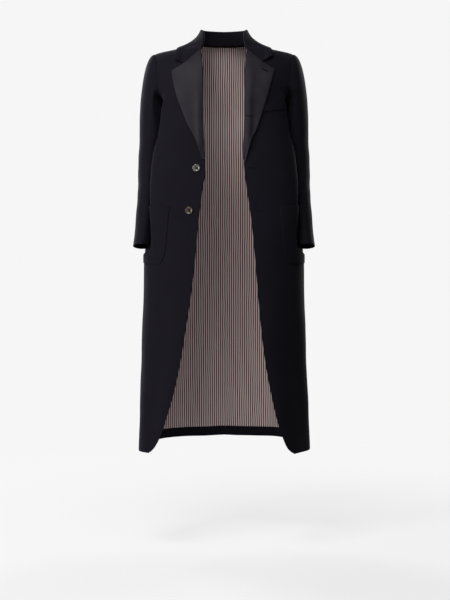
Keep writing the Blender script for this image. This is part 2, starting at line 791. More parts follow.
def add_node(tree: NodeTree, kind: str, settings: dict[str, object] | None = None, **inputs: object) -> Node:
    """Adds a node, with its settings and its links.

    Args:
        tree: The tree to add to.
        kind: Blender's name of the node's type. A shader node's goes without its first word.
        settings: The node's own properties. A colour ramp's are its stops: each one's place and hex colour.
        inputs: Its inputs, as feed takes them.

    Returns:
        The node.
    """
    made = tree.nodes.new(kind if "Node" in kind else f"ShaderNode{kind}")
    for name, value in (settings or {}).items():
        if name != "stops":
            setattr(made, name, value)
            continue
        elements = made.color_ramp.elements
        while len(elements) < len(value):
            elements.new(0.5)
        for element, (place, colour) in zip(elements, value):
            element.position, element.color = place, linear(colour)
    feed(made, **inputs)
    return made


def new_material(name: str) -> tuple[Material, NodeTree, Node]:
    """Starts a material.

    Args:
        name: The material's name.

    Returns:
        The material, its tree and its main shader.
    """
    made = bpy.data.materials.new(name)
    made.use_nodes = True
    return made, made.node_tree, made.node_tree.nodes["Principled BSDF"]


def dress(shader: Node, tone: Source, stops: Stops, relief: tuple[float, float, Source], **inputs: object) -> None:
    """Gives a main shader its colours, its relief and its other inputs.

    Args:
        shader: The shader.
        tone: What runs through the colours.
        stops: Each colour's place and hex.
        relief: The relief's strength, its depth and what drives it.
        inputs: The other inputs, as feed takes them.
    """
    strength, depth, height = relief
    ramp = add_node(shader.id_data, "ValToRGB", {"stops": stops}, Fac=tone)
    bump = add_node(shader.id_data, "Bump", Strength=strength, Distance=depth, Height=height)
    feed(shader, Base_Color=ramp, Normal=bump, **inputs)


@dataclass(frozen=True)
class WoolCoating:
    """Black wool coating: a fulled twill with a short soft nap, so it is deep, dull and slightly violet, with a
    faint bloom where it turns away."""

    dark: str = "111016"
    light: str = "18161e"
    roughness: float = 0.88
    # A real twill line is about 0.9 mm. It is drawn at 2.2 mm, the finest that shows.
    twill_mm: float = 2.2
    # Tufts of nap, and the uneven pressing of the cloth.
    nap_mm: float = 3.0
    press_mm: float = 60.0

    def material(self) -> Material:
        """Builds the cloth's material.

        Returns:
            The material.
        """
        made, tree, shader = new_material("black_wool_coating")
        cloth = add_node(tree, "UVMap", {"uv_map": "cloth"})
        turned = add_node(tree, "Mapping", Vector=cloth, Rotation=(0.0, 0.0, math.radians(-63.0)))
        twill = add_node(tree, "TexWave", Vector=turned, Scale=WAVE_MM / self.twill_mm,
            Distortion=1.2, Detail=1.0, Detail_Scale=2.0).outputs[1]
        nap = add_node(tree, "TexNoise", Vector=cloth, Scale=1000.0 / self.nap_mm, Detail=4.0, Roughness=0.65)
        place = add_node(tree, "TexCoord").outputs["Object"]
        press = add_node(tree, "TexNoise", Vector=place, Scale=1000.0 / self.press_mm, Detail=2.0)
        tone: Source | float = 0.0
        for source, share in ((nap, 0.45), (press, 0.4), (twill, 0.15)):
            tone = add_node(tree, "Math", MULTIPLY_ADD, i0=source, i1=share, i2=tone)
        height = add_node(tree, "Math", MULTIPLY_ADD, i0=nap, i1=1.6, i2=twill)
        rough = add_node(tree, "MapRange", Value=press, To_Min=self.roughness - 0.05, To_Max=self.roughness + 0.07)
        dress(shader, tone, ((0.32, self.dark), (0.68, self.light)), (0.3, 0.00035, height), Roughness=rough,
            Specular_IOR_Level=0.1, Sheen_Weight=0.06, Sheen_Roughness=0.45, Sheen_Tint=linear("b9b6c8"))
        return made


@dataclass(frozen=True)
class SilkSatin:
    """Black silk satin of the lapels: long smooth floats, so it is greyer than the wool and softly shiny, more
    along one direction than the other."""

    dark: str = "1e1c20"
    light: str = "29262b"
    roughness: float = 0.62
    # A real rib of the weft is about 0.3 mm. It is drawn at 1.6 mm, the finest that shows.
    rib_mm: float = 1.6
    flow_mm: float = 45.0

    def material(self) -> Material:
        """Builds the satin's material.

        Returns:
            The material.
        """
        made, tree, shader = new_material("black_silk_satin")
        cloth = add_node(tree, "UVMap", {"uv_map": "cloth"})
        rib = add_node(tree, "TexWave", {"bands_direction": "Y"}, Vector=cloth,
            Scale=WAVE_MM / self.rib_mm, Distortion=0.6, Detail=1.0).outputs[1]
        place = add_node(tree, "TexCoord").outputs["Object"]
        flow = add_node(tree, "TexNoise", Vector=place, Scale=1000.0 / self.flow_mm, Detail=2.0)
        tone = add_node(tree, "Math", MULTIPLY_ADD, i0=rib, i1=0.25, i2=flow)
        rough = add_node(tree, "MapRange", Value=flow, To_Min=self.roughness - 0.05, To_Max=self.roughness + 0.06)
        dress(shader, tone, ((0.35, self.dark), (0.85, self.light)), (0.12, 0.0002, rib), Roughness=rough,
            Specular_IOR_Level=0.2, Specular_Tint=linear("ece7f2"), Anisotropic=0.2, Sheen_Weight=0.05,
            Sheen_Roughness=0.3)
        return made


@dataclass(frozen=True)
class StripedLining:
    """Viscose twill lining with an even fine stripe in off-white, dusty rose and grey: smooth and softly shiny."""

    # A real repeat of the stripe is about 6.3 mm. It is drawn at 7.2 mm, so that it shows.
    pitch_mm: float = 7.2
    # A real twill line of the lining is about 0.4 mm. It is drawn at 1.2 mm.
    twill_mm: float = 1.2
    white: str = "efdfdc"
    rose: str = "9a5c63"
    grey: str = "35282c"

    def material(self) -> Material:
        """Builds the lining's material.

        Returns:
            The material.
        """
        made, tree, shader = new_material("striped_viscose_lining")
        cloth = add_node(tree, "UVMap", {"uv_map": "cloth"})
        # The yarns wander by about a millimetre over some 70 to 110 mm.
        stretched = add_node(tree, "Mapping", Vector=cloth, Scale=(9.0, 14.0, 1.0))
        wander = add_node(tree, "TexNoise", Vector=stretched, Scale=1.0, Detail=1.0)
        split = add_node(tree, "SeparateXYZ", Vector=cloth)
        across = add_node(tree, "Math", {"operation": "MULTIPLY"}, i0=split, i1=1000.0 / self.pitch_mm)
        moved = add_node(tree, "Math", MULTIPLY_ADD, i0=wander, i1=0.55, i2=across)
        repeat = add_node(tree, "Math", {"operation": "FRACT"}, i0=moved)
        stops = ((0.0, self.white), (0.46, self.white), (0.48, self.rose), (0.54, self.rose), (0.56, self.grey),
            (0.9, self.grey), (0.92, self.rose), (0.98, self.white))
        turned = add_node(tree, "Mapping", Vector=cloth, Rotation=(0.0, 0.0, math.radians(45.0)))
        twill = add_node(tree, "TexWave", Vector=turned, Scale=WAVE_MM / self.twill_mm)
        dress(shader, repeat, stops, (0.15, 0.0001, twill.outputs[1]), Roughness=0.5, Specular_IOR_Level=0.35,
            Anisotropic=0.3)
        return made


@dataclass(frozen=True)
class SleeveLining:
    """Plain black viscose satin inside the sleeves: smooth, dark and a little shiny."""

    dark: str = "1b191c"
    light: str = "29262a"
    # Soft creases.
    crease_mm: float = 25.0

    def material(self) -> Material:
        """Builds the sleeve lining's material.

        Returns:
            The material.
        """
        made, tree, shader = new_material("black_viscose_lining")
        cloth = add_node(tree, "UVMap", {"uv_map": "cloth"})
        crease = add_node(tree, "TexNoise", Vector=cloth, Scale=1000.0 / self.crease_mm, Detail=3.0)
        dress(shader, crease, ((0.35, self.dark), (0.7, self.light)), (0.3, 0.002, crease), Roughness=0.42,
            Specular_IOR_Level=0.35)
        return made


@dataclass(frozen=True)
class PolishedHorn:
    """Turned and polished horn: cloudy streaks in a thin clear polish, so its rim catches the light."""

    name: str
    pale: str
    middle: str
    dark: str

    def material(self) -> Material:
        """Builds the horn's material.

        Returns:
            The material.
        """
        made, tree, shader = new_material(self.name)
        place = add_node(tree, "TexCoord").outputs["Object"]
        # Streaks about 2 mm wide that run up and down the button.
        long = add_node(tree, "Mapping", Vector=place, Scale=(420.0, 420.0, 150.0), Rotation=(0.0, 0.5, 0.0))
        streak = add_node(tree, "TexNoise", Vector=long, Scale=1.0, Detail=5.0, Roughness=0.6, Distortion=0.8)
        fine = add_node(tree, "TexNoise", Vector=place, Scale=1800.0, Detail=2.0)
        stops = ((0.34, self.dark), (0.5, self.middle), (0.66, self.pale))
        dress(shader, streak, stops, (0.1, 0.0001, fine), Roughness=0.3, IOR=1.55, Coat_Weight=0.35,
            Coat_Roughness=0.12)
        return made


@dataclass(frozen=True)
class SewingThread:
    """Twisted cotton sewing thread, dull with fine light and dark plies."""

    name: str
    dark: str
    light: str

    def material(self) -> Material:
        """Builds the thread's material.

        Returns:
            The material.
        """
        made, tree, shader = new_material(self.name)
        place = add_node(tree, "TexCoord").outputs["Object"]
        # Plies about 0.5 mm apart.
        ply = add_node(tree, "TexWave", {"bands_direction": "DIAGONAL"}, Vector=place, Scale=630.0,
            Distortion=1.0).outputs[1]
        dress(shader, ply, ((0.2, self.dark), (0.8, self.light)), (0.3, 0.0001, ply), Roughness=0.8,
            Specular_IOR_Level=0.12)
        return made


def finish(kind: type, *values: str) -> Any:
    """Gives a field that holds a finish's material, built when the cupboard is."""
    return field(default_factory=lambda: kind(*values).material())


@dataclass
class Cupboard:
    """Every finish of the blazer, made once."""

    wool: Material = finish(WoolCoating)
    satin: Material = finish(SilkSatin)
    lining: Material = finish(StripedLining)
    sleeve_lining: Material = finish(SleeveLining)
    pale_horn: Material = finish(PolishedHorn, "pale_horn", "84857a", "646556", "3f3e36")
    brown_horn: Material = finish(PolishedHorn, "brown_horn", "6a5c50", "4f4238", "2a221d")
    dark_horn: Material = finish(PolishedHorn, "dark_horn", "37343a", "201e22", "121114")
    black_thread: Material = finish(SewingThread, "black_sewing_thread", "060607", "121114")
    dark_thread: Material = finish(SewingThread, "dark_button_thread", "0b0b0a", "1d1b19")


def place_piece(piece: Object, nodes: Sequence[str] = ()) -> Object:
    """Ties a finished piece to the blazer's one body.

    Args:
        piece: The piece.
        nodes: The solids that it stands for.

    Returns:
        The piece.
    """
    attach(piece, "root")
    if nodes:
        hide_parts(*nodes)
    return piece


def place_cloth(shell: Shell, node: str) -> Object:
    """Args:
        shell: The sheet.
        node: The solid that it stands for.

    Returns:
        The piece.
    """
    piece = place_piece(shell.build(), [node])
    return piece


@dataclass
class Bodice:
    """The two fronts and two backs, and the grids that everything else is laid on."""

    looks: Cupboard
    # Width, length and area of each cut.
    front_cut: Cut = (0.345, 1.27, 0.309)
    back_cut: Cut = (0.385, 1.275, 0.391)
    facing_share: float = 0.62
    panels: dict[Side, dict[Part, PanelShape]] = field(default_factory=dict)
    skins: dict[Side, Skin] = field(default_factory=dict)

    def shape(self) -> None:
        """Works out the grids of all four panels, and their search trees."""
        for side in Side:
            self.panels[side] = {part: PanelShape(part, side) for part in Part}
            self.skins[side] = Skin(self.panels[side])

    def inside_looks(self, panel: PanelShape) -> Array:
        """Says which faces inside a panel are lining. The front has a wool facing along its free edge.

        Args:
            panel: The panel.

        Returns:
            1 where the cell is lining, and 0 where it is wool.
        """
        points = (panel.points[:-1, :-1] + panel.points[1:, 1:]) / 2
        if panel.part is Part.BACK:
            return np.zeros(points.shape[:2], np.int32)
        shares = (panel.shares[:-1] + panel.shares[1:]) / 2
        lined = (shares[None] < self.facing_share) & (points[..., 2] > LINING_HEM_Z + 0.002)
        return lined.astype(np.int32)

    def build(self) -> list[Object]:
        """Makes the four panels.

        Returns:
            The pieces.
        """
        made = []
        for side in Side:
            for part, panel in self.panels[side].items():
                name = f"{part.value}_{side.label}"
                front = part is Part.FRONT
                shell = Shell(f"{name}_cloth", flip(panel.points, side), flip(panel.points - panel.normals * CLOTH,
                    side), [self.looks.wool, self.looks.lining], Rim(start=1.0, last=1.0 if front else 0.17, end=0.17,
                    first=0.17), self.inside_looks(panel), map_from=-1)
                made.append(place_cloth(shell, name))
        return made

    def edge(self, side: Side, z: float) -> tuple[Array, Array, Array]:
        """Reads a front's free edge.

        Args:
            side: The side.
            z: The height.

        Returns:
            The point, the cloth's normal and the way in to the gap between the fronts.
        """
        panel = self.panels[side][Part.FRONT]
        line, normals = panel.points[:, -1], panel.normals[:, -1]
        point = read_line(line, z, line[:, 2])
        tangent = unit(read_line(line, z + 0.006, line[:, 2]) - read_line(line, z - 0.006, line[:, 2]))
        normal = unit(read_line(normals, z, line[:, 2]))
        inward = unit(np.cross(normal, tangent))
        return point, normal, inward if inward[0] < 0 else -inward


def leaf_height(distance: float, puff: float, radius: float = ROLL_RADIUS) -> float:
    """Says how high a turned-back leaf's middle lies over the cloth under it.

    Args:
        distance: The distance from the leaf's fold.
        puff: How much the leaf swells beside the fold.
        radius: The radius of the fold's middle.

    Returns:
        The height.
    """
    at_fold = 2.0 * radius - CLOTH / 2
    flat = min(LEAF_GAP + CLOTH / 2, at_fold)
    settle = ease(0.0, 0.03, distance)
    return at_fold + (flat - at_fold) * settle + puff * math.exp(-(((distance - 0.014) / 0.012) ** 2))


def half_turn(base: Array, inward: Array, outward: Array, leg: float, turns: Array, radius: float) -> list[Array]:
    """Finds middle points of a fold: a turn outwards, read at some degrees, at the end of a leg."""
    angle = np.radians(turns)[:, None]
    return list(base + inward * (leg + radius * np.sin(angle)) + outward * radius * (1.0 - np.cos(angle)))


def bent_line(start: Sequence[float], turn: Sequence[float], end: Sequence[float], share: float) -> Array:
    """Reads a line with one corner, which lies at the leaf's own share, by the share along it."""
    return np.array([np.interp(share, (0.0, LEAF_TURN, 1.0), places) for places in zip(start, turn, end)])


def leaf_faces(middle: Array, thickness: float) -> tuple[Array, Array]:
    """Finds the outer and inner face of a sheet from the grid of points down its middle."""
    normals = unit(np.cross(np.gradient(middle, axis=1), np.gradient(middle, axis=0)))
    return middle + normals * thickness / 2, middle - normals * thickness / 2


LEAF_SHARES = np.concatenate([np.linspace(0.04, LEAF_TURN, 16), np.linspace(LEAF_TURN, 1.0, 15)[1:]])
NOTCH_INNER = {Side.RIGHT: (0.1225, -0.0795), Side.LEFT: (0.1165, -0.0745)}
NOTCH_COLLAR = {Side.RIGHT: (0.148, -0.069), Side.LEFT: (0.1465, -0.06)}


@dataclass
class Lapels:
    """The two faced lapels, which roll back from the fronts' free edges between the break and the gorge."""

    looks: Cupboard
    bodice: Bodice
    cut: Cut = (0.11, 0.365, 0.0225)
    rows: int = 96
    edge_lift: float = 0.0012
    edges: dict[Side, Rows] = field(default_factory=lambda: {Side.RIGHT: ((0.0665, -0.374), (0.0745, -0.348),
        (0.09, -0.305), (0.108, -0.272), (0.131, -0.215), (0.1485, -0.163), (0.161, -0.1035)),
        Side.LEFT: ((0.0665, -0.38), (0.0715, -0.357), (0.085, -0.311), (0.0985, -0.284), (0.117, -0.227),
        (0.1345, -0.17), (0.1545, -0.0985))})

    def middle(self, side: Side) -> Array:
        """Finds a lapel's middle points, from the break up to the gorge and the point.

        Args:
            side: The side.

        Returns:
            The grid: first the fold, then the leaf.
        """
        skin = self.bodice.skins[side]
        edge = np.array(self.edges[side])
        lengths = lengths_of(edge)
        low = edge[0, 1] + 0.004
        grid = []
        for step in np.linspace(0.0, 1.0, self.rows):
            fold_z = low + (GORGE_Z - low) * step
            point, normal, inward = self.bodice.edge(side, fold_z)
            base = point - normal * (CLOTH / 2)
            # The fold grows from almost nothing at the break, so that the lapel runs into the front's edge.
            grown = ease(-0.02, 0.16, step)
            leg = 0.0009 + (ROLL_LEG - 0.0009) * grown
            radius = 0.00145 + (ROLL_RADIUS - 0.00145) * grown
            roll = [base + inward * SEAM_GAP * 2.0, base + inward * leg]
            roll += half_turn(base, inward, normal, leg, np.linspace(15.0, 180.0, 12), radius)
            start = roll[-1]
            outer = np.array([smooth(lengths, edge[:, k], step * lengths[-1]) for k in (0, 1)])
            kink = ease(0.55, 1.0, step)
            fold = np.array([start[0], fold_z])
            puff = ROLL_PUFF * math.sin(math.pi * min(1.0, 0.15 + step)) + 0.0008
            line = []
            for share in LEAF_SHARES:
                straight = fold + (outer - fold) * share
                x, z = straight + (bent_line(fold, NOTCH_INNER[side], outer, share) - straight) * kink
                foot, out = skin.foot(x, z - SEAM_GAP * step)
                height = leaf_height(math.hypot(x - start[0], z - fold_z), puff * grown, radius)
                lift = self.edge_lift * grown * ease(0.65, 1.0, share)
                line.append(foot + out * (height + lift))
            grid.append(roll + line)
        return np.array(grid)

    def build(self) -> list[Object]:
        """Makes both lapels.

        Returns:
            The pieces.
        """
        made = []
        for side in Side:
            outer, inner = leaf_faces(self.middle(side), CLOTH)
            name = f"lapel_{side.label}"
            shell = Shell(f"{name}_satin", flip(outer, side), flip(inner, side), [self.looks.satin], Rim(first=0.1))
            made.append(place_cloth(shell, name))
        return made


@dataclass
class Collar:
    """The collar with its stand, in one piece round the neck."""

    looks: Cupboard
    bodice: Bodice
    cut: Cut = (0.118, 0.52, 0.055)
    steps: int = 72
    notch_lift: float = 0.008

    def seam_path(self, side: Side) -> Array:
        """Draws the neck seam from the gorge over the shoulder to the middle of the back.

        Args:
            side: The side.

        Returns:
            The points of the seam.
        """
        panels = self.bodice.panels[side]
        edge = panels[Part.FRONT].points[:, -1]
        back = panels[Part.BACK]
        first = self.bodice.edge(side, GORGE_Z + SEAM_GAP * 2.0)[0]
        return np.vstack([first, edge[edge[:, 2] > GORGE_Z + 0.003], back.points[-1, back.shares > NECK_SHARE + 0.02]])

    @staticmethod
    def leaf_curve(start: Array, rise: Array, stand: float, level: Array, end: Array) -> Array:
        """Draws the leaf's free curve from its fold to its edge, by way of the stand's foot and the way out."""
        q, control = LEAF_SHARES[:, None], start - rise * stand * 0.8 + level * 0.004
        return start * (1.0 - q) ** 2 + control * 2.0 * q * (1.0 - q) + end * q * q

    def middle(self, side: Side) -> Array:
        """Finds middle points of half the collar, from the gorge to the middle of the back.

        Args:
            side: The side.

        Returns:
            The grid: first the stand and fold, then the leaf.
        """
        skin = self.bodice.skins[side]
        path = self.seam_path(side)
        lengths = lengths_of(path)
        slopes = unit(np.gradient(path, axis=0))
        up = np.array([0.0, 0.0, 1.0])
        _, gorge_normal, gorge_inward = self.bodice.edge(side, GORGE_Z)
        stand, reach, drop = (COLLAR.at(name, 0.0) for name in ("stand", "reach", "drop"))
        base = path[0] - gorge_normal * (CLOTH / 2)
        level = unit(np.array([slopes[0][1], -slopes[0][0], 0.0]))
        fold = base + gorge_inward * stand + gorge_normal * ROLL_RADIUS * 2.0
        plain = self.leaf_curve(fold, gorge_inward, stand, level, path[0] + level * reach + up * drop)
        shares = np.linspace(0.0, 1.0, self.steps) ** 1.15
        grid = []
        for share in shares:
            value = COLLAR.all_at(share)
            seam = read_line(path, share * lengths[-1], lengths)
            tangent = unit(read_line(slopes, share * lengths[-1], lengths))
            level = unit(np.array([tangent[1], -tangent[0], 0.0]))
            lean = math.radians(value["lean_deg"])
            rise = math.cos(lean) * up - math.sin(lean) * level
            rise = unit(rise - tangent * float(rise @ tangent))
            outward = unit(np.cross(tangent, rise))
            mix = 1.0 - ease(0.0, 0.1, share)
            rise = unit(rise * (1.0 - mix) + gorge_inward * mix)
            outward = unit(outward * (1.0 - mix) + gorge_normal * mix)
            stand = value["stand"]
            base = seam - outward * (CLOTH / 2)
            points = [base + rise * SEAM_GAP * 1.5]
            points += [base + rise * (stand * part) for part in (0.2, 0.4, 0.6, 0.8, 1.0)]
            points += half_turn(base, rise, outward, stand, np.linspace(18.0, 180.0, 10), ROLL_RADIUS)
            start = points[-1]
            free = self.leaf_curve(start, rise, stand, level, seam + level * value["reach"] + up * value["drop"])
            blend = (1.0 - ease(0.0, 0.34, share)) ** 1.3
            for number, q in enumerate(LEAF_SHARES):
                moved = free[number]
                if blend > 0.0:
                    x, z = bent_line((start[0], GORGE_Z), NOTCH_INNER[side], NOTCH_COLLAR[side], q)
                    foot, out = skin.foot(x, z + SEAM_GAP * 2.0)
                    lift = self.notch_lift * ease(LEAF_TURN, 0.9, q)
                    pinned = foot + out * (leaf_height(math.hypot(x - start[0], z - GORGE_Z), 0.0) + lift)
                    moved = pinned if share == 0.0 else moved + (pinned - plain[number]) * blend
                points.append(moved if share == 0.0 else skin.pushed(moved, LEAF_GAP + CLOTH / 2))
            grid.append(points)
        return np.array(grid)

    def build(self) -> list[Object]:
        """Makes the collar.

        Returns:
            The piece, in a list.
        """
        right, left = (flip(self.middle(side), side) for side in Side)
        back = (right[-1:] + left[-1:]) / 2
        back[..., 0] = 0.0
        middle = np.concatenate([right[:-1], back, left[-2::-1]], axis=0)
        outer, inner = leaf_faces(middle, CLOTH)
        shell = Shell("collar_cloth", outer, inner, [self.looks.wool], Rim(first=0.1))
        return [place_cloth(shell, "collar")]


@dataclass
class Sleeves:
    """Both two-piece sleeves, with their pressed seams, the soft creases of the bend and the cuff buttons."""

    looks: Cupboard
    bodice: Bodice
    top_cut: Cut = (0.215, 0.66, 0.105)
    under_cut: Cut = (0.15, 0.6, 0.068)
    front_seam_deg: tuple[float, float] = (118.0, 122.0)
    back_seam_deg: tuple[float, float] = (-102.0, -50.0)
    crease: float = 0.0014

    def at(self, side: Side, degrees: Array, down: Array) -> Array:
        """Finds points of the sleeve's outer face.

        Args:
            side: The side.
            degrees: Angles from the outer line towards the front.
            down: 0 at the armhole, 1 at the level of the biceps and 2 at the cuff.

        Returns:
            The points.
        """
        degrees = np.mod(degrees, 360.0)
        first, panels = len(PanelShape.LEVELS) - 1, self.bodice.panels[side]
        front, back = panels[Part.FRONT].points[first:, 0][::-1], panels[Part.BACK].points[first:, 0]
        ends = []
        for line, first_deg in ((front, 0.0), (back, 180.0)):
            lengths = lengths_of(line)
            ends.append(read_line(line, (degrees - first_deg) / 180.0 * lengths[-1], lengths))
        start = np.where((degrees <= 180.0)[..., None], *ends)
        angle = np.radians(degrees)
        under = 0.5 * (1.0 - np.cos(angle))
        zero = np.zeros_like(under)
        start = start + np.stack([SLEEVE_GAP * (1.0 - under), zero, SLEEVE_GAP * under], axis=-1)

        def ring(z: Numbers) -> Array:
            """Reads the arm's oval at a height."""
            x = ARM.at("middle_x", z) + ARM.at("half_x", z) * np.cos(angle)
            return np.stack([x, ARM.at("middle_y", z) - ARM.at("half_y", z) * np.sin(angle), zero + z], axis=-1)

        end = ring(BICEPS_Z)
        span = np.linalg.norm(end - start, axis=-1, keepdims=True)
        leave = np.stack([0.0325 - 0.0195 * under**2, zero, zero + 0.0012], axis=-1)
        arrive = unit(ring(BICEPS_Z + 0.004) - ring(BICEPS_Z - 0.004)) * span * 0.46
        t = np.clip(down, 0.0, 1.0)[..., None]
        cap = (1 - t) ** 3 * start + 3 * (1 - t) ** 2 * t * (start + leave)
        cap = cap + 3 * (1 - t) * t * t * (end + arrive) + t**3 * end
        t = np.clip(down - 1.0, 0.0, 1.0)
        level = BICEPS_Z + (CUFF_Z - BICEPS_Z) * t
        arm = ring(level)
        arm[..., 2] += (ARM.at("middle_y", level) - arm[..., 1]) * CUFF_TILT * ease(0.35, 1.0, t)
        fold = SLEEVE_FOLD * np.sin(9.0 * t + 1.7 * np.sin(angle)) * ease(0.0, 0.3, t) * (1.0 - ease(0.6, 0.95, t))
        fold = fold + self.creases(angle, t)
        out = np.stack([np.cos(angle) * ARM.at("half_y", level), -np.sin(angle) * ARM.at("half_x", level), zero], -1)
        arm = arm + unit(out) * fold[..., None]
        return np.where((down <= 1.0)[..., None], cap, arm)

    def creases(self, angle: Array, t: Array) -> Array:
        """Gives the soft creases of the sleeve below the cap.

        Args:
            angle: Angles round the sleeve, in radians.
            t: 0 at the biceps and 1 at the cuff.

        Returns:
            The height of the creases.
        """
        bend = bell(t - 0.46, 0.2) * (0.35 + 0.65 * ease(-0.2, 1.0, np.sin(angle)))
        cross = np.sin(34.0 * t + 2.4 * np.cos(angle) + 0.9 * np.sin(2.0 * angle))
        drop = bell(t - 0.1, 0.09) * ease(0.0, 1.0, -np.cos(angle))
        return self.crease * (bend * cross * 0.8 + drop * np.sin(40.0 * t + 3.0 * np.sin(angle)))

    def seams(self, down: Numbers) -> tuple[Array, Array]:
        """Gives the angles of the front and back sleeve seams at a level on the sleeve."""
        first, last = self.back_seam_deg
        return np.interp(down, (0.0, 2.0), self.front_seam_deg), first + (last - first) * ease(0.5, 2.0, down)

    def normals_at(self, side: Side, turn: Array, down: Array) -> Array:
        """Works out normals of the sleeve's outer face from small steps round and down it."""
        fall = self.at(side, turn, np.minimum(down + 0.01, 2.0)) - self.at(side, turn, np.maximum(down - 0.01, 0.0))
        return unit(np.cross(self.at(side, turn + 1.0, down) - self.at(side, turn - 1.0, down), fall))

    def build_piece(self, side: Side, top: bool) -> Object:
        """Makes the upper or the under piece of a sleeve.

        Args:
            side: The side.
            top: Whether it is the upper piece.

        Returns:
            The piece.
        """
        down = spaced((0.0, 0.12, 8), (0.12, 0.9, 34), (0.9, 1.9, 66), (1.9, 2.0, 10))
        front, back = self.seams(down)
        gap = math.degrees(SEAM_SHOWN / 2 / 0.033)
        start, end = (back + gap, front - gap) if top else (front + gap, back + 360.0 - gap)
        count = 60 if top else 36
        degrees = start[:, None] + (end - start)[:, None] * crowded(count, 0.35)
        levels = np.repeat(down[:, None], count, axis=1)
        points = self.at(side, degrees, levels)
        normals = self.normals_at(side, degrees, levels)
        across, up = grid_lengths(points)
        seam = bell(across, 0.0035) + bell(across[:, -1:] - across, 0.0035)
        height = -0.0007 * seam + 0.0004 * uneven(points, 0.07) * ease(0.0, 0.03, up)
        points = points + normals * height[..., None]
        name = f"sleeve_{'top' if top else 'under'}_{side.label}"
        inner = points - normals * CLOTH
        looks = np.ones((len(down) - 1, count - 1), np.int32)
        looks[down[1:] > 1.93] = 0
        shell = Shell(f"{name}_cloth", flip(points, side), flip(inner, side),
            [self.looks.wool, self.looks.sleeve_lining], Rim(start=0.4, last=0.17, end=1.0, first=0.17), looks,
            map_from=count // 2)
        return place_cloth(shell, name)

    def build(self) -> list[Object]:
        """Makes the four pieces of the two sleeves."""
        return [self.build_piece(side, top) for side in Side for top in (True, False)]

    def button_places(self, side: Side) -> list[tuple[Array, Array]]:
        """Finds the four cuff buttons' places up the back seam, on the upper piece.

        Args:
            side: The side.

        Returns:
            The middle of each button's back, and the normal there.
        """
        places = []
        for number in range(4):
            down = 2.0 + (0.03 + 0.0142 * number) / (CUFF_Z - BICEPS_Z)
            _, back = self.seams(down)
            trial = float(back) + np.arange(0.0, 60.0, 0.5)
            row = self.at(side, trial, np.full(len(trial), down))
            found = trial[int(np.argmax(np.linalg.norm(row - row[0], axis=1) >= 0.013))]
            angle, level = np.array([found]), np.array([down])
            normal = self.normals_at(side, angle, level)[0]
            place = self.at(side, angle, level)[0] + normal * BUTTON_SHANK
            places.append((flip(place, side), flip(normal, side)))
        return places


@dataclass
class BackLining:
    """The striped lining over both backs: short of the hem, with the small ripples of a loose lining."""

    looks: Cupboard
    bodice: Bodice
    cut: Cut = (0.745, 1.245, 0.739)
    side_share: float = 0.04
    top_rows: int = 6
    hem: Array = field(default_factory=lambda: np.zeros((2, 0, 3)))

    def half(self, side: Side) -> tuple[Array, Array]:
        """Finds both faces of the lining over one back.

        Args:
            side: The side.

        Returns:
            The face against the cloth, and the face that shows.
        """
        panel = self.bodice.panels[side][Part.BACK]
        first = int(np.argmin(np.abs(PanelShape.LEVELS - LINING_HEM_Z)))
        rows = slice(first, -self.top_rows)
        points, normals = panel.points[rows].copy(), panel.normals[rows]
        ring = np.arange(points.shape[1])
        share = np.linspace(self.side_share, 1.0, len(ring)) * (len(ring) - 1)
        low = np.minimum(share.astype(int), len(ring) - 2)
        t = (share - low)[None, :, None]
        points = points[:, low] * (1 - t) + points[:, low + 1] * t
        normals = unit(normals[:, low] * (1 - t) + normals[:, low + 1] * t)
        across, up = grid_lengths(points)
        free = ease(0.0, 0.02, across) * ease(0.0, 0.05, up) * ease(0.0, 0.05, up[-1:] - up)
        free = free * ease(0.0, 0.03, across[:, -1:] - across)
        ripple = 0.5 + 0.5 * np.sin(across * 6.283 / 0.048 + 1.3 * np.sin(up * 6.283 / 0.61))
        depth = CLOTH + LAYER_GAP + free * 0.0022 * ripple * (0.35 + 0.65 * (1.0 - ease(0.1, 0.9, up)))
        depth = depth + 0.0008 * bell(across, 0.006)
        face = points - normals * depth[..., None]
        return flip(face, side), flip(face - normals * LINING_CLOTH, side)

    def build(self) -> list[Object]:
        """Makes the lining.

        Returns:
            The piece, in a list.
        """
        halves = [self.half(side) for side in Side]
        grids = []
        for right, left in zip(halves[0], halves[1]):
            middle = (right[:, -1:] + left[:, -1:]) / 2
            grids.append(np.concatenate([right[:, :-1], middle, left[:, -2::-1]], axis=1))
        self.hem = grids[1][:2]
        columns = grids[0].shape[1]
        shell = Shell("back_lining_cloth", grids[0], grids[1], [self.looks.lining], map_from=columns // 2)
        return [place_cloth(shell, "back_lining")]


